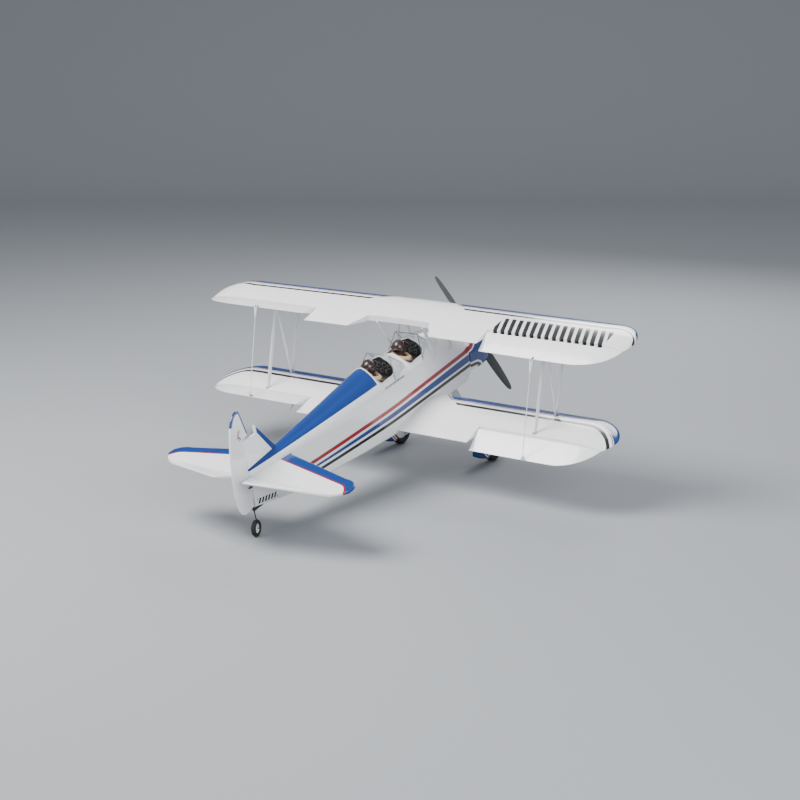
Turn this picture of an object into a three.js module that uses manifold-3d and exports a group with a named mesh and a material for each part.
// Quarter-scale radio-controlled biplane with two open cockpits, standing on its wheels.
// Units are millimetres. The airframe is drawn level in its own frame, with x to the pilot's
// left, y aft and z up, its origin on the chord line at the middle of the upper wing's leading
// edge. The whole airframe is then pitched nose-up until its three wheels share one floor.

import * as THREE from 'three';
import { mergeVertices } from 'three/addons/utils/BufferGeometryUtils.js';
import Module from 'manifold-3d';

const wasm = await Module();
wasm.setup();

// ---------------------------------------------------------------- driving dimensions

const GROUND_PITCH = 11.92;          // nose-up angle on the ground, degrees
const GAP = 0.3;                     // clearance between parts that touch
const AILERON_LEFT_UP = 18;          // control deflections in the standing pose, degrees
const AILERON_RIGHT_DOWN = 22;
const ELEVATOR_UP = 22;
const RUDDER_RIGHT = 15;

const UPPER_WING = {
  y: 0, z: 0, chord: 307, halfSpan: 940, sweep: 0.014, root: 0,
  tipDepth: 150, noseStart: 835, nosePower: 2, tailStart: 720, tailPower: 2.3,
};
const LOWER_WING = {
  y: 119, z: -339, chord: 326, halfSpan: 908, sweep: 0, root: 85.6,
  tipDepth: 140, noseStart: 785, nosePower: 1.65, tailStart: 720, tailPower: 1.9,
};
const AIRFOIL = { thickness: 0.125, camber: 0.025, camberAt: 0.4, edge: 0.8 };
const UPPER_HINGE_Y = 222;
const LOWER_HINGE_Y = 345;
const AILERON_INBOARD = 390;
const BEVEL = 34;                    // half-angle of the control surfaces' leading bevels
const CUTOUT = { corner: 187, front: 143, depth: 80, round: 26 };

const LINK_ARM = 103;                // aileron hinge to slave-rod pivot
const LINK_X = 618;
const HORN_X = 475;
const HORN_ARM = { aft: 4, down: 28 };
const SERVO_AHEAD = 95;              // servo axis ahead of the aileron hinge

const STRUT_X = 616;
const UPPER_SPARS = [34, 200];       // strut stations: y on each wing, front and rear
const LOWER_SPARS = [167, 333];
const CABANE = { footX: 88.5, footZ: -166, frontFoot: 25, rearFoot: 148,
  topZ: -6, frontTop: [88, 74], rearTop: [104, 222] };

// Fuselage stations: y, half width, bottom, top of the flat side, crown of the deck, and the
// power of the deck's arch (2 is an ellipse, less is sharper).
const HULL = [
  [-112, 83, -326, -262, -176, 1.7],
  [-104, 85, -348, -258, -172, 1.7],
  [-90, 85, -362, -250, -165, 1.75],
  [-60, 85, -367, -232, -150, 1.8],
  [0, 85, -367, -200, -122, 1.9],
  [50, 85, -367, -175, -102, 2],
  [95, 85, -367, -160, -89, 1.85],
  [178, 85, -366, -160, -80, 1.6],
  [240, 85, -364, -160, -84, 1.55],
  [298, 85, -363, -160, -98, 1.5],
  [335, 85, -362, -160, -88, 1.5],
  [372, 85, -361.5, -160, -75, 1.5],
  [450, 84, -360, -161, -71, 1.5],
  [503, 81.5, -357, -162, -72, 1.5],
  [640, 72, -349, -165, -88, 1.5],
  [780, 61, -339, -169, -104, 1.5],
  [900, 50, -333, -172, -118, 1.55],
  [1018, 38, -325, -175, -131, 1.6],
  [1110, 26, -308, -177, -141, 1.7],
  [1198, 11, -291, -179, -151, 2],
];
const COWL = [
  [-272, 66, -326, -262, -210, 2],
  [-268, 75, -334, -262, -203, 2],
  [-254, 82, -341, -262, -198, 1.9],
  [-215, 85, -344, -262, -191, 1.8],
  [-160, 85.4, -345, -262, -183, 1.7],
  [-112.5, 85.4, -346, -262, -176, 1.7],
];
const SKIN = 3;
const HATCH = { front: 95, rear: 503, seam: -160, floor: -157 };
// Each cockpit's opening, its pilot's head, and the corners of its windscreen: x, y aft of the
// opening's front edge, z.
const COCKPITS = {
  front: { start: 178, end: 298, head: [248, -92],
    screen: { top: [51, 10, -57], base: [57, -37, -102], tail: [76, 32, -127] } },
  rear: { start: 378, end: 500, head: [453, -88],
    screen: { top: [51, 9, -65], base: [61, -37, -103], tail: [80, 32, -134] } },
};
const COCKPIT_HALF_WIDTH = 73;
const THRUST_Z = -246;
const OUTLET = { top: -330, bend: -165, front: -191 };  // air outlet under the cowl
const FIREWALL_Y = -97;

const TAIL_Z = -178;                 // stabiliser mid-plane
const STAB = { root: 998, slope: 0.285, halfSpan: 395, tipY: 1150, noseStart: 335, thick: 12 };
const ELEVATOR_HINGE_Y = 1204;
const ELEVATOR_ROOT = 127;           // chord on the centre line, tapering outward
const ELEVATOR_TAPER = 0.33;
const RUDDER_HINGE_Y = 1200.5;
const FIN_THICK = 8;

const MAIN_WHEEL = { radius: 57, width: 36, x: 221, y: 0 };
const TAIL_WHEEL = { radius: 29.5, width: 17, trail: 8, z: -370.9 };
const GEAR_WIDTH = 42;
const PROP = { y: -286, radius: 281, hub: 20, turn: 33.8 };
const SPINNER = { radius: 37, rear: -275.5, tip: -352, wall: 2 };

// ---------------------------------------------------------------- materials

const paint = (colour, roughness, metalness = 0) =>
  new THREE.MeshStandardMaterial({ color: colour, roughness, metalness });

const FILM = paint(0xe6e6e8, 0.3);
const BLUE_PAINT = paint(0x08488f, 0.28);
const CLEAR = paint(0xcfdadd, 0.08);
const BLACK_PLASTIC = paint(0x15161a, 0.45);
const DARK_CARBON = paint(0x35373a, 0.35);
const WHITE_PAINT = paint(0xdfe1e3, 0.35);
const ALUMINIUM = paint(0xb4b8bd, 0.35, 1);
const STEEL = paint(0x8b8f94, 0.3, 1);
const BLACK_WIRE = paint(0x202225, 0.4, 0.6);
const RUBBER = paint(0x121314, 0.8);
const PLYWOOD = paint(0xc9a873, 0.7);
const LEATHER = paint(0x3a1d14, 0.4);
const TANK_PLASTIC = paint(0xe9e6d8, 0.3);
const BATTERY_WRAP = paint(0x1c4f8c, 0.4);
const PANEL_BLACK = paint(0x0d0e10, 0.5);

// ---------------------------------------------------------------- solids and outlines

const WELD = 1e-3;
const vec = (x, y, z) => new THREE.Vector3(x, y, z);
const radians = THREE.MathUtils.degToRad;

// A closed three.js geometry as a manifold solid, with its faces pointing out.
function toSolid(geometry) {
  const bare = geometry.clone();
  bare.deleteAttribute('normal');
  bare.deleteAttribute('uv');
  const welded = mergeVertices(bare, WELD);
  const corners = welded.attributes.position;
  const source = welded.index.array;
  const faces = [];
  let volume = 0;
  const [a, b, c] = [vec(0, 0, 0), vec(0, 0, 0), vec(0, 0, 0)];
  for (let i = 0; i < source.length; i += 3) {
    const [p, q, r] = [source[i], source[i + 1], source[i + 2]];
    if (p === q || q === r || r === p) continue;
    a.fromBufferAttribute(corners, p);
    b.fromBufferAttribute(corners, q);
    c.fromBufferAttribute(corners, r);
    volume += a.dot(b.cross(c));
    faces.push([p, q, r]);
  }
  if (volume < 0) faces.forEach((face) => face.reverse());
  const mesh = new wasm.Mesh({
    numProp: 3,
    vertProperties: new Float32Array(corners.array),
    triVerts: new Uint32Array(faces.flat()),
  });
  return new wasm.Manifold(mesh);
}

const join = (first, ...others) => others.reduce((sum, piece) => sum.add(piece), first);
const cut = (body, ...tools) => tools.reduce((rest, tool) => rest.subtract(tool), body);

// The pilot's left is +x and right is -x.
const SIDES = [['left', 1], ['right', -1]];

// Skin between rings of equal length, closed by a flat cap at each end.
function loft(rings) {
  const count = rings[0].length;
  const points = rings.flat();
  const faces = [];
  for (let i = 0; i + 1 < rings.length; i += 1) {
    for (let j = 0; j < count; j += 1) {
      const k = (j + 1) % count;
      const [a, b] = [i * count + j, i * count + k];
      const [c, d] = [a + count, b + count];
      faces.push(a, b, d, a, d, c);
    }
  }
  const last = (rings.length - 1) * count;
  capFaces(rings[0]).forEach(([a, b, c]) => faces.push(c, b, a));
  capFaces(rings.at(-1)).forEach(([a, b, c]) => faces.push(last + a, last + b, last + c));
  const geometry = new THREE.BufferGeometry().setFromPoints(points);
  geometry.setIndex(faces);
  return toSolid(geometry);
}

// Triangles of one flat ring, wound the way the ring runs.
function capFaces(ring) {
  const normal = vec(0, 0, 0);
  ring.forEach((p, i) => normal.add(p.clone().cross(ring[(i + 1) % ring.length])));
  const steepest = ['x', 'y', 'z'].sort((p, q) => Math.abs(normal[p]) - Math.abs(normal[q]))[2];
  const [u, v] = ['x', 'y', 'z'].filter((name) => name !== steepest);
  const flat = ring.map((p) => new THREE.Vector2(p[u], p[v]));
  const turn = Math.sign(THREE.ShapeUtils.area(flat));
  return THREE.ShapeUtils.triangulateShape(flat, []).map((face) => {
    const area = THREE.ShapeUtils.area(face.map((i) => flat[i]));
    return Math.sign(area) === turn ? face : [...face].reverse();
  });
}

// Straight prisms of an outline, along each axis.
function prism(outline, depth, matrix) {
  const shape = outline instanceof THREE.Shape ? outline
    : new THREE.Shape(outline.map(([u, v]) => new THREE.Vector2(u, v)));
  const geometry = new THREE.ExtrudeGeometry(shape, { depth, bevelEnabled: false, curveSegments: 6 });
  return toSolid(geometry.applyMatrix4(matrix));
}
const basis = (u, v, w, origin) => new THREE.Matrix4().makeBasis(u, v, w).setPosition(origin);
const X = vec(1, 0, 0);
const Y = vec(0, 1, 0);
const Z = vec(0, 0, 1);
const prismX = (outline, x0, x1) => prism(outline, x1 - x0, basis(Y, Z, X, vec(x0, 0, 0)));
const prismY = (outline, y0, y1) =>
  prism(outline, y1 - y0, basis(X, Z, Y.clone().negate(), vec(0, y1, 0)));
const prismZ = (outline, z0, z1) => prism(outline, z1 - z0, basis(X, Y, Z, vec(0, 0, z0)));

// A block between two corners.
function block([x0, y0, z0], [x1, y1, z1]) {
  const geometry = new THREE.BoxGeometry(Math.abs(x1 - x0), Math.abs(y1 - y0), Math.abs(z1 - z0));
  return toSolid(geometry.translate((x0 + x1) / 2, (y0 + y1) / 2, (z0 + z1) / 2));
}

// A body turned about a line through `centre`; the profile lists [along the axis, radius].
function turned(profile, axis, centre, sides = 20) {
  const outline = profile.map(([along, radius]) => new THREE.Vector2(radius, along));
  const geometry = new THREE.LatheGeometry(outline, sides);
  const turn = new THREE.Quaternion().setFromUnitVectors(Y, axis);
  geometry.applyQuaternion(turn);
  return toSolid(geometry.translate(centre.x, centre.y, centre.z));
}

// A round bar between two points.
function rod(from, to, radius, sides = 10) {
  const along = to.clone().sub(from);
  const length = along.length();
  const profile = [[0, 0], [0, radius], [length, radius], [length, 0]];
  return turned(profile, along.normalize(), from, sides);
}

// A bar of streamlined section between two points, its chord lying fore and aft.
function streamlinedBar(from, to, chord, thick) {
  const along = to.clone().sub(from).normalize();
  const across = vec(1, 0, 0).addScaledVector(along, -along.x).normalize();
  const aft = new THREE.Vector3().crossVectors(along, across);
  if (aft.y < 0) aft.negate();
  const section = [[-0.5, 0], [-0.3, 0.42], [0, 0.5], [0.3, 0.3], [0.5, 0.06],
    [0.5, -0.06], [0.3, -0.3], [0, -0.5], [-0.3, -0.42]];
  const ring = (centre) => section.map(([u, v]) => centre.clone()
    .addScaledVector(aft, u * chord).addScaledVector(across, v * thick));
  return loft([ring(from), ring(to)]);
}

// A flat plate of even thickness through the given corners.
function plate(corners, thick) {
  const edge = corners[1].clone().sub(corners[0]);
  const normal = edge.cross(corners[2].clone().sub(corners[0])).normalize();
  const side = (sign) => corners.map((p) => p.clone().addScaledVector(normal, sign * thick / 2));
  return loft([side(-1), side(1)]);
}

// A swept round tube along a smooth path.
function tube(points, radius, steps, sides = 8) {
  const circle = new THREE.Shape();
  circle.absarc(0, 0, radius, 0, Math.PI * 2);
  const path = new THREE.CatmullRomCurve3(points, false, 'centripetal');
  const geometry = new THREE.ExtrudeGeometry(circle,
    { steps, extrudePath: path, curveSegments: sides / 2, bevelEnabled: false });
  return toSolid(geometry);
}

// The same solid after a move or a mirroring.
function transformed(solid, matrix) {
  const { vertProperties, triVerts } = solid.getMesh();
  const corners = new THREE.BufferAttribute(new Float32Array(vertProperties), 3);
  corners.applyMatrix4(matrix);
  const faces = new Uint32Array(triVerts);
  if (matrix.determinant() < 0) faces.reverse();
  const mesh = new wasm.Mesh({ numProp: 3, vertProperties: corners.array, triVerts: faces });
  return new wasm.Manifold(mesh);
}
const moved = (solid, x, y, z) =>
  transformed(solid, new THREE.Matrix4().makeTranslation(x, y, z));
const mirrored = (solid) => transformed(solid, new THREE.Matrix4().makeScale(-1, 1, 1));
const onSide = (solid, sign) => (sign > 0 ? solid : mirrored(solid));

// ---------------------------------------------------------------- scene graph

const airframe = new THREE.Group();
const biplane = new THREE.Group();
biplane.add(airframe);

// Adds a solid, drawn in the level frame, as one named mesh of a group whose origin is `pivot`.
function addPart(name, solid, material, parent = airframe, pivot = vec(0, 0, 0)) {
  const { vertProperties, triVerts } = solid.getMesh();
  const geometry = new THREE.BufferGeometry();
  geometry.setAttribute('position', new THREE.BufferAttribute(vertProperties, 3));
  geometry.setIndex(new THREE.BufferAttribute(triVerts, 1));
  geometry.translate(-pivot.x, -pivot.y, -pivot.z);
  geometry.computeVertexNormals();
  const mesh = new THREE.Mesh(geometry, material);
  mesh.name = name;
  parent.add(mesh);
  return mesh;
}

// A group that turns about `axis` through `pivot` by an angle in degrees.
function hingeGroup(pivot, axis, angle) {
  const group = new THREE.Group();
  group.position.copy(pivot);
  group.quaternion.setFromAxisAngle(axis, radians(angle));
  airframe.add(group);
  return group;
}

// ---------------------------------------------------------------- wings

// Height of the airfoil's upper (+1) or lower (-1) surface, as fractions of the chord.
function airfoilHeight(f, surface) {
  const { thickness, camber, camberAt } = AIRFOIL;
  const half = 5 * thickness * (0.2969 * Math.sqrt(f) - 0.126 * f - 0.3516 * f ** 2
    + 0.2843 * f ** 3 - 0.1036 * f ** 4);
  const line = f < camberAt
    ? camber / camberAt ** 2 * (2 * camberAt * f - f ** 2)
    : camber / (1 - camberAt) ** 2 * (1 - 2 * camberAt + 2 * camberAt * f - f ** 2);
  return line + surface * half;
}
const hingeHeight = (wing, hingeY) => {
  const f = (hingeY - wing.y) / wing.chord;
  return wing.z + wing.chord * (airfoilHeight(f, 1) + airfoilHeight(f, -1)) / 2;
};

// Round end of a planform: 0 along the straight stretch, rising to 1 at the tip.
function tipTurn(x, start, tip, power) {
  const u = Math.max(0, Math.min(1, (Math.abs(x) - start) / (tip - start)));
  return 1 - (1 - u ** power) ** (1 / power);
}
function leadingEdge(wing, x) {
  const turn = tipTurn(x, wing.noseStart, wing.halfSpan, wing.nosePower);
  return wing.y + wing.sweep * Math.abs(x) + wing.tipDepth * turn;
}
function trailingEdge(wing, x) {
  const turn = tipTurn(x, wing.tailStart, wing.halfSpan, wing.tailPower);
  return wing.y + wing.chord + wing.sweep * Math.abs(x) - (wing.chord - wing.tipDepth) * turn;
}

const CHORD_STEPS = [0, 0.012, 0.05, 0.12, 0.25, 0.42, 0.6, 0.8, 1];
function wingRing(wing, x) {
  const nose = leadingEdge(wing, x);
  const chord = trailingEdge(wing, x) - nose;
  const side = (surface) => CHORD_STEPS.map((f) => vec(x, nose + f * chord,
    wing.z + chord * airfoilHeight(f, surface) + (f > 0 ? surface * AIRFOIL.edge : 0)));
  const upper = side(1).reverse();
  const lower = side(-1).slice(1);
  return [...upper, ...lower];
}

const TIP_STEPS = [0.25, 0.45, 0.6, 0.72, 0.82, 0.9, 0.955, 0.985, 0.998];
function wingStations(wing) {
  const run = wing.halfSpan - wing.tailStart;
  return [wing.tailStart, ...TIP_STEPS.map((t) => wing.tailStart + t * run)];
}

// Plan outline that holds everything aft of an aileron's hinge, from its inboard end outward.
const bayOutline = (inboard, hingeY, reach) =>
  [[inboard, hingeY], [1000, hingeY], [1000, hingeY + reach], [inboard, hingeY + reach]];

// Wedges that bevel the leading edge of a surface hinged on a line along x.
function bevelTools(hingeY, hingeZ, x0, x1) {
  const rise = 30;
  const run = rise * Math.tan(radians(BEVEL));
  return [1, -1].map((sign) => prismX([
    [hingeY - 5, hingeZ], [hingeY, hingeZ],
    [hingeY + run, hingeZ + sign * rise], [hingeY - 5, hingeZ + sign * rise],
  ], x0, x1));
}

const wingSolid = (wing, xs) => loft(xs.map((x) => wingRing(wing, x)));
const upperStations = wingStations(UPPER_WING);
const upperFull = wingSolid(UPPER_WING,
  [...upperStations.map((x) => -x).reverse(), 0, ...upperStations]);
const lowerFull = wingSolid(LOWER_WING, [LOWER_WING.root, ...wingStations(LOWER_WING)]);

const BAY_REACH = 160;
const BAY_CLEARANCE = 1;
const bay = (hingeY, wing) => prismZ(bayOutline(AILERON_INBOARD, hingeY, BAY_REACH),
  wing.z - 60, wing.z + 60);
const aileronBlank = (wing, full, hingeY) => {
  const outline = bayOutline(AILERON_INBOARD + 2, hingeY + GAP, BAY_REACH);
  const raw = full.intersect(prismZ(outline, wing.z - 60, wing.z + 60));
  return cut(raw, ...bevelTools(hingeY + GAP, hingeHeight(wing, hingeY), 380, 1000));
};

function cutoutTool() {
  const { corner, front, depth, round } = CUTOUT;
  const rear = UPPER_WING.chord + 30;
  const start = UPPER_WING.chord - depth;
  const shape = new THREE.Shape();
  const flare = corner + 30 * (corner - front) / depth;
  shape.moveTo(-flare, rear);
  shape.lineTo(-front - 6, start + round * 0.9);
  shape.quadraticCurveTo(-front, start, -front + round, start - 2);
  shape.quadraticCurveTo(0, start - 8, front - round, start - 2);
  shape.quadraticCurveTo(front, start, front + 6, start + round * 0.9);
  shape.lineTo(flare, rear);
  shape.closePath();
  return prismZ(shape, -60, 60);
}

const upperBay = bay(UPPER_HINGE_Y - BAY_CLEARANCE, UPPER_WING);
const upperWing = cut(upperFull, cutoutTool(), upperBay, mirrored(upperBay));
addPart('upper_wing', upperWing, FILM);

// The tube that carries the lower wing panels through the fuselage.
const JOINER = { y: LOWER_WING.y + 95, z: LOWER_WING.z + 8, radius: 8, reach: 262 };
const joinerRod = (radius) =>
  rod(vec(-JOINER.reach, JOINER.y, JOINER.z), vec(JOINER.reach, JOINER.y, JOINER.z), radius, 14);
const joinerBore = rod(vec(-JOINER.reach - 1, JOINER.y, JOINER.z),
  vec(JOINER.reach + 1, JOINER.y, JOINER.z), JOINER.radius + 0.5, 14);
addPart('wing_joiner_tube', joinerRod(JOINER.radius), ALUMINIUM);

const upperHingeZ = hingeHeight(UPPER_WING, UPPER_HINGE_Y);
const lowerHingeZ = hingeHeight(LOWER_WING, LOWER_HINGE_Y);

// Servo lying in the underside of the lower wing, its arm below the skin.
const SERVO = { y: LOWER_HINGE_Y - SERVO_AHEAD, z: LOWER_WING.z - 5, length: 40, width: 20, depth: 36 };
const servoPocket = block([HORN_X - 5, SERVO.y - 16, SERVO.z - 30],
  [HORN_X + 8 + SERVO.depth, SERVO.y + 30, SERVO.z + SERVO.width / 2 + 1]);
const lowerWing = cut(lowerFull, bay(LOWER_HINGE_Y - BAY_CLEARANCE, LOWER_WING), joinerBore, servoPocket);

const servoBody = join(
  block([HORN_X + 6, SERVO.y - 11, SERVO.z - SERVO.width / 2],
    [HORN_X + 6 + SERVO.depth, SERVO.y - 11 + SERVO.length, SERVO.z + SERVO.width / 2]),
  rod(vec(HORN_X + 2.4, SERVO.y, SERVO.z), vec(HORN_X + 7, SERVO.y, SERVO.z), 3, 12),
);

// Small plate with an eye, drawn about a pivot line along x; [y, z] outline points.
function eyePlate(outline, eyeY, eyeZ, x, thick, bore) {
  const shape = new THREE.Shape(outline.map(([u, v]) => new THREE.Vector2(u, v)));
  const hole = new THREE.Path();
  hole.absarc(eyeY, eyeZ, bore, 0, Math.PI * 2);
  shape.holes.push(hole);
  return prismX(shape, x - thick / 2, x + thick / 2);
}

// Ply tab let into a trailing edge, with the slave rod's pivot eye at its end.
function linkTab(hingeY, hingeZ) {
  const eye = hingeY + LINK_ARM;
  const outline = [[eye - 22, hingeZ - 7], [eye - 22, hingeZ - 2], [eye - 1, hingeZ + 3.4],
    [eye + 2.6, hingeZ + 2.4], [eye + 3.6, hingeZ], [eye + 2.6, hingeZ - 2.6], [eye - 1, hingeZ - 4]];
  return eyePlate(outline, eye, hingeZ, LINK_X, 2.4, 1.5);
}
const upperAileron = join(aileronBlank(UPPER_WING, upperFull, UPPER_HINGE_Y),
  linkTab(UPPER_HINGE_Y, upperHingeZ));
const lowerAileron = join(aileronBlank(LOWER_WING, lowerFull, LOWER_HINGE_Y),
  linkTab(LOWER_HINGE_Y, lowerHingeZ));

// Horn under the aileron that the servo's pushrod drives.
function driveHorn() {
  const underside = lowerHingeZ - 12;
  const eye = [LOWER_HINGE_Y + HORN_ARM.aft, lowerHingeZ - HORN_ARM.down];
  const outline = [[LOWER_HINGE_Y + 9, underside], [LOWER_HINGE_Y + 30, underside + 1.5],
    [LOWER_HINGE_Y + 29, underside - 2], [eye[0] + 4, eye[1] - 2.5], [eye[0], eye[1] - 4],
    [eye[0] - 4, eye[1] - 1.5], [eye[0] - 3.5, eye[1] + 3]];
  return eyePlate(outline, eye[0], eye[1], HORN_X, 2.4, 1.4);
}

// Forked end that straddles an eye plate, tapering along `direction` from the pivot.
function fork(pivot, direction, width, neck, length, slot) {
  const thick = 5;
  const aft = new THREE.Vector3().crossVectors(direction, X).normalize();
  const ring = (along, half, deep) => [[half, deep], [-half, deep], [-half, -deep], [half, -deep]]
    .map(([u, v]) => pivot.clone().addScaledVector(direction, along)
      .addScaledVector(X, u).addScaledVector(aft, v));
  const body = loft([ring(-4, width / 2, thick / 2), ring(6, width / 2, thick / 2),
    ring(length, neck / 2, thick / 2.4)]);
  const opening = loft([ring(-6, slot / 2, thick), ring(9, slot / 2, thick)]);
  const pin = rod(pivot.clone().addScaledVector(X, -width / 2 + 0.2),
    pivot.clone().addScaledVector(X, width / 2 - 0.2), 1, 8);
  return join(cut(body, opening), pin);
}

// Both slave-rod pivots keep their rest offset, because the two ailerons turn together.
const slaveLow = vec(LINK_X, LOWER_HINGE_Y + LINK_ARM, lowerHingeZ);
const slaveHigh = vec(LINK_X, UPPER_HINGE_Y + LINK_ARM, upperHingeZ);
function slaveRod() {
  const up = slaveHigh.clone().sub(slaveLow).normalize();
  const down = up.clone().negate();
  const FORK_LENGTH = 46;
  return join(
    fork(slaveHigh, down, 12, 4.4, FORK_LENGTH, 3.4),
    rod(slaveLow.clone().addScaledVector(up, 12), slaveHigh.clone().addScaledVector(down, 40), 1.6, 8),
    fork(slaveLow, up, 7.5, 4, 16, 3.4),
  );
}

function servoArm(axis) {
  const tip = axis.clone().add(vec(0, HORN_ARM.aft, -HORN_ARM.down));
  const outline = [[axis.y - 5, axis.z + 1], [axis.y - 3, axis.z + 5], [axis.y + 3, axis.z + 5],
    [axis.y + 5, axis.z + 1], [tip.y + 3, tip.z - 1.5], [tip.y, tip.z - 3.5], [tip.y - 3, tip.z - 1.5]];
  return eyePlate(outline, tip.y, tip.z, HORN_X, 2.4, 1.3);
}

function aileronPushrod(axis) {
  const start = axis.clone().add(vec(0, HORN_ARM.aft, -HORN_ARM.down));
  const end = vec(HORN_X, LOWER_HINGE_Y + HORN_ARM.aft, lowerHingeZ - HORN_ARM.down);
  const along = end.clone().sub(start).normalize();
  const back = along.clone().negate();
  return join(
    fork(start, along, 6, 3.4, 18, 3.2),
    rod(start.clone().addScaledVector(along, 14), end.clone().addScaledVector(back, 14), 1.2, 8),
    fork(end, back, 6, 3.4, 18, 3.2),
    rod(end.clone().add(vec(-2.4, 0, 0)), end.clone().add(vec(-2.4, 24, -9)), 1, 6),
  );
}

for (const [side, sign] of SIDES) {
  const rest = sign > 0 ? AILERON_LEFT_UP : -AILERON_RIGHT_DOWN;
  addPart(`lower_wing_${side}`, onSide(lowerWing, sign), FILM);
  addPart(`aileron_servo_${side}`, onSide(servoBody, sign), BLACK_PLASTIC);

  const upperPivot = vec(0, UPPER_HINGE_Y, upperHingeZ);
  const upperGroup = hingeGroup(upperPivot, X, rest);
  addPart(`upper_aileron_${side}`, onSide(upperAileron, sign), FILM, upperGroup, upperPivot);

  const lowerPivot = vec(0, LOWER_HINGE_Y, lowerHingeZ);
  const lowerGroup = hingeGroup(lowerPivot, X, rest);
  addPart(`lower_aileron_${side}`, onSide(lowerAileron, sign), FILM, lowerGroup, lowerPivot);
  addPart(`aileron_horn_${side}`, onSide(cut(driveHorn(), lowerAileron), sign), BLACK_PLASTIC,
    lowerGroup, lowerPivot);

  const armAxis = vec(HORN_X, SERVO.y, SERVO.z);
  const armGroup = hingeGroup(vec(0, SERVO.y, SERVO.z), X, rest);
  addPart(`servo_arm_${side}`, onSide(servoArm(armAxis), sign), BLACK_PLASTIC,
    armGroup, vec(0, SERVO.y, SERVO.z));

  // The rods move with their lower pivots and stay parallel to themselves.
  const turnedBy = (arm) => arm.clone().applyAxisAngle(X, radians(rest)).sub(arm);
  const slaveShift = turnedBy(vec(0, LINK_ARM, 0));
  const rodMesh = addPart(`slave_rod_${side}`, onSide(slaveRod(), sign), WHITE_PAINT);
  rodMesh.position.copy(slaveShift);
  const pushShift = turnedBy(vec(0, HORN_ARM.aft, -HORN_ARM.down));
  const pushMesh = addPart(`aileron_pushrod_${side}`, onSide(aileronPushrod(armAxis), sign), STEEL);
  pushMesh.position.copy(pushShift);
}

// ---------------------------------------------------------------- struts

const upperSkin = moved(upperWing, 0, 0, -GAP);
const lowerSkin = moved(lowerWing, 0, 0, GAP);
const SINK = 14;                     // how far a strut is drawn into a wing before it is trimmed

function interplaneStrut() {
  const [frontFoot, rearFoot] = LOWER_SPARS.map((y) => vec(STRUT_X, y, LOWER_WING.z + SINK - 4));
  const [frontHead, rearHead] = UPPER_SPARS.map((y) => vec(STRUT_X, y, UPPER_WING.z + 4));
  const members = [
    streamlinedBar(frontFoot, frontHead, 19, 8),
    streamlinedBar(rearFoot, rearHead, 19, 8),
    streamlinedBar(frontFoot, rearHead, 13, 7),
  ];
  return cut(join(...members), upperSkin, lowerSkin);
}

function cabaneStrut() {
  const { footX, footZ, frontFoot, rearFoot, topZ, frontTop, rearTop } = CABANE;
  const head = ([x, y]) => vec(x, y, topZ);
  const foot = (y) => vec(footX + 1.5, y, footZ + 4);
  const tabs = [frontFoot, rearFoot].map((y) =>
    block([85 + GAP * 2, y - 11, footZ - 10], [footX + 1.5, y + 11, footZ + 8]));
  return cut(join(
    streamlinedBar(foot(frontFoot), head(frontTop), 13, 6),
    streamlinedBar(foot(rearFoot - 4), head(frontTop), 11, 6),
    streamlinedBar(foot(rearFoot), head(rearTop), 15, 7),
    ...tabs,
  ), upperSkin);
}

for (const [side, sign] of SIDES) {
  addPart(`interplane_strut_${side}`, onSide(interplaneStrut(), sign), WHITE_PAINT);
  addPart(`cabane_strut_${side}`, onSide(cabaneStrut(), sign), WHITE_PAINT);
}

// ---------------------------------------------------------------- fuselage

// Cross-section of the fuselage or cowl: flat bottom with rounded chines, flat sides and an
// arched deck. A positive inset gives the inside of the skin.
const CHINE = 14;
const DECK_STEPS = [15, 32, 50, 70];
function hullRing([y, halfWidth, bottom, sideTop, crown, power], inset, bottomRound = CHINE) {
  const w = halfWidth - inset;
  const base = bottom + inset;
  const rise = crown - inset - sideTop;
  const round = Math.min(bottomRound, w * 0.4);
  const deck = DECK_STEPS.map(radians).map((angle) =>
    [w * Math.cos(angle) ** (2 / power), sideTop + rise * Math.sin(angle) ** (2 / power)]);
  const right = [[w - round, base], [w - round * 0.3, base + round * 0.3], [w, base + round],
    [w, sideTop], ...deck];
  const half = right.map(([x, z]) => vec(x, y, z));
  const other = right.map(([x, z]) => vec(-x, y, z)).reverse();
  return [...half, vec(0, y, sideTop + rise), ...other];
}
const hullSolid = (stations, inset) => loft(stations.map((row) => hullRing(row, inset)));

// Stations between two values of y, with the ends interpolated.
function hullBetween(stations, y0, y1) {
  const at = (y) => {
    const next = Math.max(1, stations.findIndex((row) => row[0] >= y));
    const [a, b] = [stations[next - 1], stations[next]];
    const t = (y - a[0]) / (b[0] - a[0]);
    return a.map((value, i) => value + t * (b[i] - value));
  };
  const inner = stations.filter(([y]) => y > y0 + 1 && y < y1 - 1);
  return [at(y0), ...inner, at(y1)];
}

const BEYOND = 120;
const slab = (y0, y1, z0, z1) => block([-BEYOND, y0, z0], [BEYOND, y1, z1]);
const VOID_END = 1000;
const BULKHEAD = 4;
const hull = hullSolid(HULL, 0);
const hullVoid = cut(hullSolid([[HULL[0][0] - 1, ...HULL[0].slice(1)],
  ...hullBetween(HULL, HULL[0][0], VOID_END)], SKIN),
  slab(HATCH.rear, HATCH.rear + BULKHEAD, HATCH.seam - 8, 0),
  slab(HATCH.front - BULKHEAD, HATCH.front, HATCH.seam - 8, 0));

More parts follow.
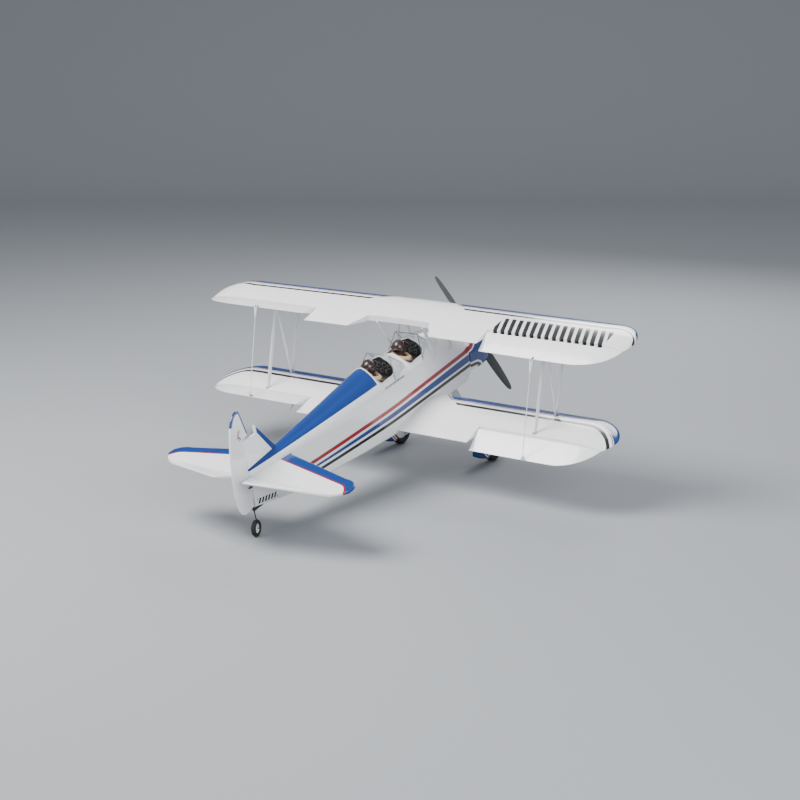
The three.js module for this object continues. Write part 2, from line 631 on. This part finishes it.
const stabHalf = (x) => {
  const turn = tipTurn(x, STAB.noseStart, STAB.halfSpan, 2);
  return STAB.root + STAB.slope * Math.min(Math.abs(x), STAB.noseStart)
    + (STAB.tipY - STAB.root - STAB.slope * STAB.noseStart) * turn;
};
const elevatorEdge = (x) => {
  const turn = tipTurn(x, 310, STAB.halfSpan, 2);
  const edge = ELEVATOR_HINGE_Y + ELEVATOR_ROOT - ELEVATOR_TAPER * Math.abs(x);
  return edge + (STAB.tipY - edge) * turn;
};
const TIP_XS = [345, 360, 372, 382, 389, 393.5];
const TAIL_XS = [0, 67, 200, 310, 335, ...TIP_XS];

// Plan outline of the whole tailplane, and of the part ahead of a line across it.
function tailOutline() {
  const front = TAIL_XS.map((x) => [x, stabHalf(x)]);
  const rear = TAIL_XS.map((x) => [x, elevatorEdge(x)]).reverse();
  const right = [...front, ...rear];
  const left = right.slice(1, -1).map(([x, y]) => [-x, y]).reverse();
  return [...right, ...left];
}
const tailBlank = prismZ(tailOutline(), TAIL_Z - STAB.thick / 2, TAIL_Z + STAB.thick / 2);
const joinerRelief = block([-31, ELEVATOR_HINGE_Y - 4, TAIL_Z - 20], [31, 1300, TAIL_Z + 20]);
const stabiliser = cut(tailBlank.intersect(block([-500, 900, TAIL_Z - 20],
  [500, ELEVATOR_HINGE_Y - 1, TAIL_Z + 20])), joinerRelief);
const stabSlot = prismZ([[-60, STAB.root - 20], [60, STAB.root - 20], [60, 1230], [-60, 1230]],
  TAIL_Z - STAB.thick / 2 - GAP, TAIL_Z + STAB.thick / 2 + GAP);
const stabRoot = tailBlank.intersect(stabSlot);
const slotTool = join(moved(stabRoot, 0, 0, GAP), moved(stabRoot, 0, 0, -GAP),
  moved(stabRoot, 0, -0.8, GAP), moved(stabRoot, 0, -0.8, -GAP));

// Bolts that hold the landing gear, and their holes.
const GEAR_BOLTS = { x: 42, y: MAIN_WHEEL.y, shank: 2.5, head: 5 };
const GEAR_TOP = -367;
const gearBolt = (radius) => rod(vec(GEAR_BOLTS.x, GEAR_BOLTS.y, GEAR_TOP - 8),
  vec(GEAR_BOLTS.x, GEAR_BOLTS.y, GEAR_TOP + 12), radius, 8);
const gearBoltHoles = [gearBolt(GEAR_BOLTS.shank + GAP), mirrored(gearBolt(GEAR_BOLTS.shank + GAP))];
const hatchTool = slab(HATCH.front, HATCH.rear, HATCH.seam, 0);
const fuselage = cut(hull, hullVoid, hatchTool, slotTool, joinerBore,
  ...gearBoltHoles);
addPart('fuselage', fuselage, FILM);
addPart('stabiliser', stabiliser, FILM);

// Removable cockpit deck, with both cockpit openings and a floor under the pilots.
function cockpitOpening({ start, end }) {
  const w = COCKPIT_HALF_WIDTH;
  const shape = new THREE.Shape();
  shape.moveTo(-w + 16, start);
  shape.lineTo(w - 16, start);
  shape.quadraticCurveTo(w - 3, start + 6, w, start + 34);
  shape.lineTo(w, end - 26);
  shape.quadraticCurveTo(w, end, w - 30, end);
  shape.lineTo(-w + 30, end);
  shape.quadraticCurveTo(-w, end, -w, end - 26);
  shape.lineTo(-w, start + 34);
  shape.quadraticCurveTo(-w + 3, start + 6, -w + 16, start);
  return prismZ(shape, HATCH.floor + 2, 0);
}
const deckOuter = hullSolid(hullBetween(HULL, HATCH.front + GAP, HATCH.rear - GAP), 0)
  .intersect(slab(0, 600, HATCH.seam + GAP, 0));
const deckVoid = hullSolid(hullBetween(HULL, HATCH.front - 1, HATCH.rear + 1), SKIN)
  .intersect(slab(0, 600, HATCH.floor, 0));
const hatch = cut(deckOuter, deckVoid, ...Object.values(COCKPITS).map(cockpitOpening));
addPart('cockpit_hatch', hatch, FILM);

const PANEL = { thick: 3, recess: 3 };
function instrumentPanel({ start }) {
  const rear = start - PANEL.recess;
  return hullSolid(hullBetween(HULL, rear - PANEL.thick, rear), SKIN + GAP * 2)
    .intersect(slab(0, 600, HATCH.floor + GAP, 0));
}

// Three-pane windscreen: a raked front pane and a triangular pane on each side. The panes are
// drawn on past the deck by `sink` and trimmed to it.
const SCREEN = { thick: 1.2, sinkBase: 1.6, sinkTail: 1.35 };
const deckInflated = hullSolid(hullBetween(HULL, 0, HATCH.rear), -GAP);
function windscreen({ start, screen }) {
  const corner = ([x, y, z], sign) => vec(sign * x, start + y, z);
  const sunk = (name, sign, factor) =>
    corner(screen.top, sign).lerp(corner(screen[name], sign), factor);
  const top = (sign) => corner(screen.top, sign);
  const base = (sign) => sunk('base', sign, SCREEN.sinkBase);
  const tail = (sign) => sunk('tail', sign, SCREEN.sinkTail);
  const panes = [
    plate([top(1), top(-1), base(-1), base(1)], SCREEN.thick),
    plate([top(1), base(1), tail(1)], SCREEN.thick),
    plate([top(-1), base(-1), tail(-1)], SCREEN.thick),
  ];
  return cut(join(...panes), deckInflated);
}

// Bust of a pilot: jacket, rolled collar, head and flying helmet in one piece.
const HEAD_RADIUS = 29;
function ellipseRing(y, z, halfWidth, halfDepth, sides = 16) {
  return Array.from({ length: sides }, (_, i) => {
    const angle = 2 * Math.PI * i / sides;
    return vec(halfWidth * Math.cos(angle), y + halfDepth * Math.sin(angle), z);
  });
}
function pilotBust({ head: [y, z] }) {
  const jacket = loft([
    ellipseRing(y, HATCH.floor + GAP, 50, 25),
    ellipseRing(y, z - 58, 57, 26),
    ellipseRing(y, z - 48, 52, 25),
    ellipseRing(y, z - 38, 36, 21),
    ellipseRing(y, z - 28, 18, 15),
  ]);
  const collar = turned([[-10, 0], [-8, 20], [-3, 29], [4, 28], [9, 18], [9, 0]],
    Z, vec(0, y, z - 33), 14);
  const dome = new THREE.SphereGeometry(HEAD_RADIUS, 16, 10);
  dome.rotateX(Math.PI / 2).translate(0, y, z);
  const jaw = loft([
    ellipseRing(y - 4, z - 28, 15, 15, 12),
    ellipseRing(y - 5, z - 19, 18, 20, 12),
    ellipseRing(y - 3, z - 3, 20, 22, 12),
  ]);
  return join(jacket, collar, toSolid(dome), jaw);
}

for (const [place, cockpit] of Object.entries(COCKPITS)) {
  addPart(`instrument_panel_${place}`, instrumentPanel(cockpit), PANEL_BLACK);
  addPart(`windscreen_${place}`, windscreen(cockpit), CLEAR);
  addPart(`pilot_${place}`, pilotBust(cockpit), LEATHER);
}

// ---------------------------------------------------------------- nose and equipment

const shaftLine = (y) => vec(0, y, THRUST_Z);
const shaftDisc = (y0, y1, radius, sides = 16) =>
  turned([[y0, 0], [y0, radius], [y1, radius], [y1, 0]], Y, shaftLine(0), sides);

function cowl() {
  const [face, rear] = [COWL[0], COWL.at(-1)];
  const inner = hullSolid([[face[0] + 3, ...face.slice(1)], ...COWL.slice(1, -1),
    [rear[0] + 1, ...rear.slice(1)]], 2);
  const shaftHole = shaftDisc(-285, -255, 28, 20);
  const inlet = new THREE.Shape();
  inlet.absellipse(0, 0, 14, 8, 0, Math.PI * 2);
  const inlets = [1, -1].map((sign) =>
    prismY(inlet.getPoints(6).map((p) => [p.x + sign * 46, p.y + THRUST_Z - 4]), -280, -255));
  const outlet = new THREE.Shape();
  outlet.moveTo(-105, -380);
  outlet.lineTo(-105, OUTLET.top);
  outlet.lineTo(OUTLET.bend, OUTLET.top);
  outlet.quadraticCurveTo(OUTLET.front + 4, OUTLET.top, OUTLET.front, -380);
  return cut(hullSolid(COWL, 0), inner, shaftHole, ...inlets, prismX(outlet, -BEYOND, BEYOND));
}
addPart('cowl', cowl(), BLUE_PAINT);

// Ply bulkhead behind the cowl with two hardwood bearers for the engine.
const BEARER = { x: 31, width: 9, height: 14, nose: -176 };
const firewall = join(
  hullSolid(hullBetween(HULL, FIREWALL_Y, FIREWALL_Y + 5), SKIN + 1),
  ...[1, -1].map((sign) => block([sign * BEARER.x, BEARER.nose, THRUST_Z - 17],
    [sign * (BEARER.x + BEARER.width), FIREWALL_Y + 1, THRUST_Z - 17 + BEARER.height])),
);
addPart('firewall', firewall, PLYWOOD);

const CRANK = 5;
function engine() {
  const crankcase = turned([[-258, 0], [-258, 13], [-228, 15], [-214, 25], [-148, 25], [-140, 20],
    [-140, 0]], Y, shaftLine(0), 16);
  const fins = Array.from({ length: 4 }, (_, i) => [[26 + i * 9, 24], [31 + i * 9, 24],
    [31 + i * 9, 19], [35 + i * 9, 19]]).flat();
  const barrel = turned([[0, 0], [0, 17], [26, 17], ...fins, [64, 22], [72, 18], [72, 0]],
    Z.clone().negate(), vec(0, -180, THRUST_Z), 12);
  const lugs = block([-37, BEARER.nose, THRUST_Z - 17 + BEARER.height + GAP], [37, -158, THRUST_Z + 3]);
  const bore = shaftDisc(-262, -150, CRANK + 0.6, 12);
  return cut(join(crankcase, barrel, lugs), bore);
}
addPart('engine', engine(), ALUMINIUM);

const muffler = join(
  turned([[-205, 0], [-205, 11], [-198, 17], [-132, 17], [-124, 11], [-124, 0]], Y,
    vec(56, 0, -290), 14),
  tube([vec(56, -150, -290), vec(56, -150, -312), vec(54, -146, -335), vec(52, -138, -362)], 6, 8),
);
addPart('muffler', muffler, STEEL);

const tank = join(
  turned([[-74, 0], [-74, 20], [-64, 32], [44, 32], [54, 20], [54, 0]], Y, vec(0, 0, -215), 14),
  turned([[-82, 0], [-82, 9], [-73, 9], [-73, 0]], Y, vec(0, 0, -215), 12),
);
addPart('fuel_tank', tank, TANK_PLASTIC);

const roundedBox = (x, y, z, w, d, h, r) => {
  const outline = new THREE.Shape();
  const [a, b] = [w / 2, h / 2];
  outline.moveTo(-a + r, -b);
  outline.lineTo(a - r, -b).quadraticCurveTo(a, -b, a, -b + r);
  outline.lineTo(a, b - r).quadraticCurveTo(a, b, a - r, b);
  outline.lineTo(-a + r, b).quadraticCurveTo(-a, b, -a, b - r);
  outline.lineTo(-a, -b + r).quadraticCurveTo(-a, -b, -a + r, -b);
  return prismY(outline, y - d / 2, y + d / 2).translate([x, 0, z]);
};
addPart('battery', roundedBox(0, 10, -345, 66, 110, 34, 8), BATTERY_WRAP);

// Ply tray across the fuselage with the rudder and elevator servos hanging in its cut-outs.
const TRAY = { y0: 255, y1: 345, z: -250, thick: 4 };
const SERVO_SPOTS = { rudder_servo: 26, elevator_servo: -26 };
const tailServo = (x) => join(
  block([x - 10, 275, TRAY.z - 26], [x + 10, 315, TRAY.z + 12]),
  block([x - 10, 267, TRAY.z + 2 + GAP], [x + 10, 323, TRAY.z + 5]),
  rod(vec(x, 285, TRAY.z + 11), vec(x, 285, TRAY.z + 18), 3, 10),
  block([x - 16, 281.5, TRAY.z + 16], [x + 16, 288.5, TRAY.z + 19]),
);
const tray = cut(block([-81.6, TRAY.y0, TRAY.z - 2], [81.6, TRAY.y1, TRAY.z + 2]),
  ...Object.values(SERVO_SPOTS).map((x) =>
    block([x - 10.6, 274.4, TRAY.z - 5], [x + 10.6, 315.6, TRAY.z + 5])));
addPart('servo_tray', tray, PLYWOOD);
for (const [name, x] of Object.entries(SERVO_SPOTS)) {
  addPart(name, tailServo(x), BLACK_PLASTIC);
}

// ---------------------------------------------------------------- propeller

function bladeRing(radius, chord, thick, pitch) {
  const section = [[-0.5, 0], [-0.25, 0.42], [0.1, 0.5], [0.5, 0.08], [0.5, -0.08], [0.1, -0.4],
    [-0.25, -0.36]];
  const [c, s] = [Math.cos(radians(pitch)), Math.sin(radians(pitch))];
  return section.map(([u, v]) => {
    const [across, deep] = [u * chord, v * thick];
    return vec(across * c - deep * s, PROP.y - (across * s + deep * c), THRUST_Z + radius);
  });
}
const BLADE = [
  [6, 20, 14, 32], [30, 22, 12, 36], [62, 30, 8, 32], [110, 38, 6.5, 24], [165, 38, 5, 18],
  [220, 33, 4, 14.5], [255, 26, 3.2, 12.5], [273, 17, 2.4, 12], [PROP.radius, 7, 1.8, 12],
];
const halfTurn = new THREE.Matrix4().makeTranslation(0, 0, THRUST_Z)
  .multiply(new THREE.Matrix4().makeRotationY(Math.PI))
  .multiply(new THREE.Matrix4().makeTranslation(0, 0, -THRUST_Z));
function propeller() {
  const blade = loft(BLADE.map((row) => bladeRing(...row)));
  const hub = shaftDisc(PROP.y - 8, PROP.y + 8, PROP.hub, 20);
  const bore = shaftDisc(PROP.y - 12, PROP.y + 12, CRANK + GAP);
  return cut(join(blade, transformed(blade, halfTurn), hub), bore);
}

const SPINNER_CURVE = [[0.7, 0.985], [0.55, 0.92], [0.4, 0.8], [0.25, 0.62], [0.1, 0.37]];
function spinner() {
  const { radius, rear, tip, wall } = SPINNER;
  const depth = rear - tip;
  const profile = (inset) => [[rear - inset, 0], [rear - inset, radius - inset],
    [PROP.y - 6, radius - inset],
    ...SPINNER_CURVE.map(([t, r]) => [tip + inset + (depth - 2 * inset) * t, radius * r - inset]),
    [tip + 2 * inset, 0]];
  const shell = cut(turned(profile(0), Y, shaftLine(0), 24), turned(profile(wall), Y, shaftLine(0), 24));
  const bladeSlot = block([-15, PROP.y - 12, THRUST_Z - 60], [15, rear - wall - 0.2, THRUST_Z + 60]);
  return cut(shell, shaftDisc(rear - 3, rear + 1, CRANK + GAP), bladeSlot);
}
const crankshaft = join(shaftDisc(-306, -296, 8), shaftDisc(-300, -152, CRANK));
const shaftPivot = shaftLine(PROP.y);
const shaftGroup = hingeGroup(shaftPivot, Y, PROP.turn);
addPart('propeller', propeller(), DARK_CARBON, shaftGroup, shaftPivot);
addPart('spinner', spinner(), ALUMINIUM, shaftGroup, shaftPivot);
addPart('crankshaft', crankshaft, STEEL, shaftGroup, shaftPivot);

// ---------------------------------------------------------------- tail

const FIN_OUTLINE = [[1040, -133], [1132, -14], [1136, -16], [1134, -45], [1198, -44], [1198, -149]];
const finSolid = cut(prismX(FIN_OUTLINE, -FIN_THICK / 2, FIN_THICK / 2),
  hullSolid(hullBetween(HULL, 900, 1198), -GAP));
addPart('fin', finSolid, FILM);

// Rudder outline as [aft of the hinge, height], anticlockwise from the foot of its hinge line.
const RUDDER_OUTLINE = [
  [1, -290], [42, -290], [66, -286], [86, -275], [103, -250], [113, -205], [114, -150], [107, -95],
  [97, -40], [83, 8], [64, 46], [45, 65], [22, 73], [4, 70], [-8, 60], [-22, 22], [-42, -31],
  [-36, -36], [1, -41],
];
const RUDDER_THICK = 7;
const JOINER_BAR = { x: 27, radius: 2, reach: 42 };
const STEER_WIRE = { radius: 2, top: -262, bend: -332 };
const rudderPivot = vec(0, RUDDER_HINGE_Y, 0);
const rudderGroup = hingeGroup(rudderPivot, Z, RUDDER_RIGHT);
const wirePath = (grow) => join(
  rod(vec(0, RUDDER_HINGE_Y, STEER_WIRE.bend), vec(0, RUDDER_HINGE_Y, STEER_WIRE.top + grow),
    STEER_WIRE.radius + grow, 8),
  rod(vec(0, RUDDER_HINGE_Y, STEER_WIRE.top - 2),
    vec(0, RUDDER_HINGE_Y + 22 + grow, STEER_WIRE.top - 2), STEER_WIRE.radius + grow, 8),
);
const rudder = cut(
  prismX(RUDDER_OUTLINE.map(([s, z]) => [RUDDER_HINGE_Y + s, z]), -RUDDER_THICK / 2, RUDDER_THICK / 2),
  block([-9, RUDDER_HINGE_Y - 2, TAIL_Z - 7], [9, RUDDER_HINGE_Y + 13, TAIL_Z + 7]),
  block([-9, RUDDER_HINGE_Y - 2, -300], [9, RUDDER_HINGE_Y + 3.2, STEER_WIRE.top + 3]),
  wirePath(0.5),
);
addPart('rudder', rudder, FILM, rudderGroup, rudderPivot);

// Tailwheel strut: a wire down the rudder's hinge line, then round the tyre to the axle.
const tailAxle = vec(0, RUDDER_HINGE_Y + TAIL_WHEEL.trail, TAIL_WHEEL.z);
const strutSide = TAIL_WHEEL.width / 2 + 4.5;
const tailStrut = join(
  wirePath(0),
  tube([vec(0, RUDDER_HINGE_Y, STEER_WIRE.bend + 1), vec(-strutSide * 0.6, RUDDER_HINGE_Y + 2, -337),
    vec(-strutSide, RUDDER_HINGE_Y + 5, -347), tailAxle.clone().setX(-strutSide)], 2, 8),
  rod(tailAxle.clone().setX(-strutSide - 2), tailAxle.clone().setX(strutSide + 9), 1.9, 8),
  rod(tailAxle.clone().setX(strutSide), tailAxle.clone().setX(strutSide + 6), 4.5, 10),
);
addPart('tailwheel_strut', tailStrut, BLACK_WIRE, rudderGroup, rudderPivot);

// Tyre and hub as one turned body, bored for its axle.
function wheelProfile(radius, width, bore) {
  const w = width / 2;
  const flank = [[0.55, 0.3], [0.5, 0.54], [0.85, 0.62], [1, 0.76], [0.82, 0.92]];
  const side = (sign) => flank.map(([u, r]) => [sign * w * u, radius * r]);
  return [[-w * 0.6, bore], ...side(-1), [0, radius], ...side(1).reverse(), [w * 0.6, bore],
    [-w * 0.6, bore]];
}
const tailWheel = turned(wheelProfile(TAIL_WHEEL.radius, TAIL_WHEEL.width, 2.4), X, tailAxle, 20);
addPart('tailwheel', tailWheel, RUBBER, rudderGroup, rudderPivot);

// Bearing plate under the tail that the strut wire turns in.
const bearing = cut(
  join(block([-7, 1158, -304], [7, 1205, -301]), rod(vec(0, RUDDER_HINGE_Y, -308),
    vec(0, RUDDER_HINGE_Y, -297), 5, 12)),
  rod(vec(0, RUDDER_HINGE_Y, -320), vec(0, RUDDER_HINGE_Y, -280), 2.5, 12),
  hullSolid(hullBetween(HULL, 1120, 1198), -GAP),
);
addPart('tailwheel_bearing', bearing, BLACK_PLASTIC);

// Elevators, joined across the tail post by a bar on their hinge line.
const elevatorPivot = vec(0, ELEVATOR_HINGE_Y, TAIL_Z);
const elevatorGroup = hingeGroup(elevatorPivot, X, ELEVATOR_UP);
const { x: barX, radius: barRadius, reach: barReach } = JOINER_BAR;
const joinerBar = (grow) => join(
  rod(vec(-barX, ELEVATOR_HINGE_Y, TAIL_Z), vec(barX, ELEVATOR_HINGE_Y, TAIL_Z), barRadius + grow, 8),
  ...[1, -1].map((sign) => rod(vec(sign * barX, ELEVATOR_HINGE_Y - barRadius - grow, TAIL_Z),
    vec(sign * barX, ELEVATOR_HINGE_Y + barReach + grow, TAIL_Z), barRadius + grow, 8)),
);
const elevatorRegion = prismZ([[13, 1209], [13, ELEVATOR_HINGE_Y + GAP], [500, ELEVATOR_HINGE_Y + GAP],
  [500, 1400], [108, 1400]], TAIL_Z - 20, TAIL_Z + 20);
const elevatorTaper = [1, -1].map((sign) => prismX([
  [ELEVATOR_HINGE_Y + 30, TAIL_Z + sign * 6.2], [ELEVATOR_HINGE_Y + 130, TAIL_Z + sign * 1.6],
  [ELEVATOR_HINGE_Y + 130, TAIL_Z + sign * 20], [ELEVATOR_HINGE_Y + 30, TAIL_Z + sign * 20],
], 0, 500));
const elevator = cut(tailBlank.intersect(elevatorRegion), joinerBar(0.5), ...elevatorTaper,
  ...bevelTools(ELEVATOR_HINGE_Y + GAP, TAIL_Z, 0, 500));
for (const [side, sign] of SIDES) {
  addPart(`elevator_${side}`, onSide(elevator, sign), FILM, elevatorGroup, elevatorPivot);
}
addPart('elevator_joiner', joinerBar(0), STEEL, elevatorGroup, elevatorPivot);

// ---------------------------------------------------------------- landing gear

// The main axle's height puts the main wheels on the tailwheel's floor.
const [pitchSin, pitchCos] = [Math.sin(radians(GROUND_PITCH)), Math.cos(radians(GROUND_PITCH))];
const tailContactY = RUDDER_HINGE_Y + TAIL_WHEEL.trail * Math.cos(radians(RUDDER_RIGHT));
const floorHeight = -pitchSin * tailContactY + pitchCos * TAIL_WHEEL.z - TAIL_WHEEL.radius;
const axleZ = (floorHeight + MAIN_WHEEL.radius + pitchSin * MAIN_WHEEL.y) / pitchCos;
const axle = vec(MAIN_WHEEL.x, MAIN_WHEEL.y, axleZ);

const GEAR = { thick: 4, hipX: 58, kneeX: 192, kneeDrop: 28 };
function gearLegs() {
  const [kneeZ, footZ] = [axleZ + GEAR.kneeDrop, axleZ - 12];
  const top = GEAR_TOP - GAP * 2;
  const outer = [[GEAR.hipX, top], [GEAR.kneeX, kneeZ], [GEAR.kneeX, footZ]];
  const inner = [[GEAR.kneeX - GEAR.thick, footZ], [GEAR.kneeX - GEAR.thick, kneeZ - 2],
    [GEAR.hipX - 2, top - GEAR.thick]];
  const right = [...outer, ...inner];
  const left = right.map(([x, z]) => [-x, z]).reverse();
  const band = prismY([...right, ...left], MAIN_WHEEL.y - GEAR_WIDTH / 2, MAIN_WHEEL.y + GEAR_WIDTH / 2);
  const taper = [1, -1].map((sign) => prismX([
    [MAIN_WHEEL.y + sign * 21, GEAR_TOP - 30], [MAIN_WHEEL.y + sign * 11, kneeZ],
    [MAIN_WHEEL.y + sign * 11, footZ - 5], [MAIN_WHEEL.y + sign * 40, footZ - 5],
    [MAIN_WHEEL.y + sign * 40, GEAR_TOP - 30],
  ], -220, 220));
  const bores = [1, -1].map((sign) =>
    rod(axle.clone().setX(sign * 180), axle.clone().setX(sign * 200), 3.4, 10));
  return cut(band, ...taper, ...bores, ...gearBoltHoles);
}
addPart('landing_gear', gearLegs(), ALUMINIUM);

const AXLE_RADIUS = 3;
const axleBolt = join(
  rod(axle.clone().setX(183), axle.clone().setX(246), AXLE_RADIUS, 10),
  rod(axle.clone().setX(182), axle.clone().setX(187), 5.5, 6),
);
for (const [side, sign] of SIDES) addPart(`axle_${side}`, onSide(axleBolt, sign), STEEL);

const headedBolt = join(gearBolt(GEAR_BOLTS.shank), rod(vec(GEAR_BOLTS.x, GEAR_BOLTS.y, GEAR_TOP - 8.6),
  vec(GEAR_BOLTS.x, GEAR_BOLTS.y, GEAR_TOP - 5.2), GEAR_BOLTS.head, 6));
for (const [side, sign] of SIDES) addPart(`gear_bolt_${side}`, onSide(headedBolt, sign), STEEL);

// Wheel pant: a teardrop shell round the upper part of each main wheel.
// Stations: y, half width, underside and top, all measured from the axle.
const PANT = [
  [-106, 5, 4, 14], [-98, 13, -6, 27], [-80, 20, -17, 43], [-52, 25, -26, 58], [-14, 26, -30, 67],
  [26, 26, -29, 68], [68, 23, -20, 63], [104, 17, -4, 56], [132, 10, 14, 49], [146, 4, 24, 43],
];
function pantRing([y, halfWidth, low, high]) {
  const [middle, half] = [(low + high) / 2, (high - low) / 2];
  return Array.from({ length: 14 }, (_, i) => {
    const angle = 2 * Math.PI * (i + 0.5) / 14;
    const squash = (value) => Math.sign(value) * Math.abs(value) ** 0.75;
    return vec(MAIN_WHEEL.x + halfWidth * squash(Math.cos(angle)), MAIN_WHEEL.y + y,
      axleZ + middle + half * squash(Math.sin(angle)));
  });
}
const WELL = { radius: 61, halfWidth: 20.5 };
const pant = cut(loft(PANT.map(pantRing)),
  rod(axle.clone().setX(MAIN_WHEEL.x - WELL.halfWidth), axle.clone().setX(MAIN_WHEEL.x + WELL.halfWidth),
    WELL.radius, 28),
  rod(axle.clone().setX(180), axle.clone().setX(260), AXLE_RADIUS + 0.4, 10));
const mainWheel = turned(wheelProfile(MAIN_WHEEL.radius, MAIN_WHEEL.width, AXLE_RADIUS + 0.4), X, axle, 28);
for (const [side, sign] of SIDES) {
  addPart(`wheel_pant_${side}`, onSide(pant, sign), FILM);
  addPart(`wheel_${side}`, onSide(mainWheel, sign), RUBBER);
}

// ---------------------------------------------------------------- standing pose

airframe.rotation.x = radians(-GROUND_PITCH);
biplane.updateMatrixWorld(true);
const extent = new THREE.Box3().setFromObject(biplane, true);
airframe.position.set(
  -(extent.min.x + extent.max.x) / 2,
  -(extent.min.y + extent.max.y) / 2,
  -extent.min.z,
);

export default biplane;
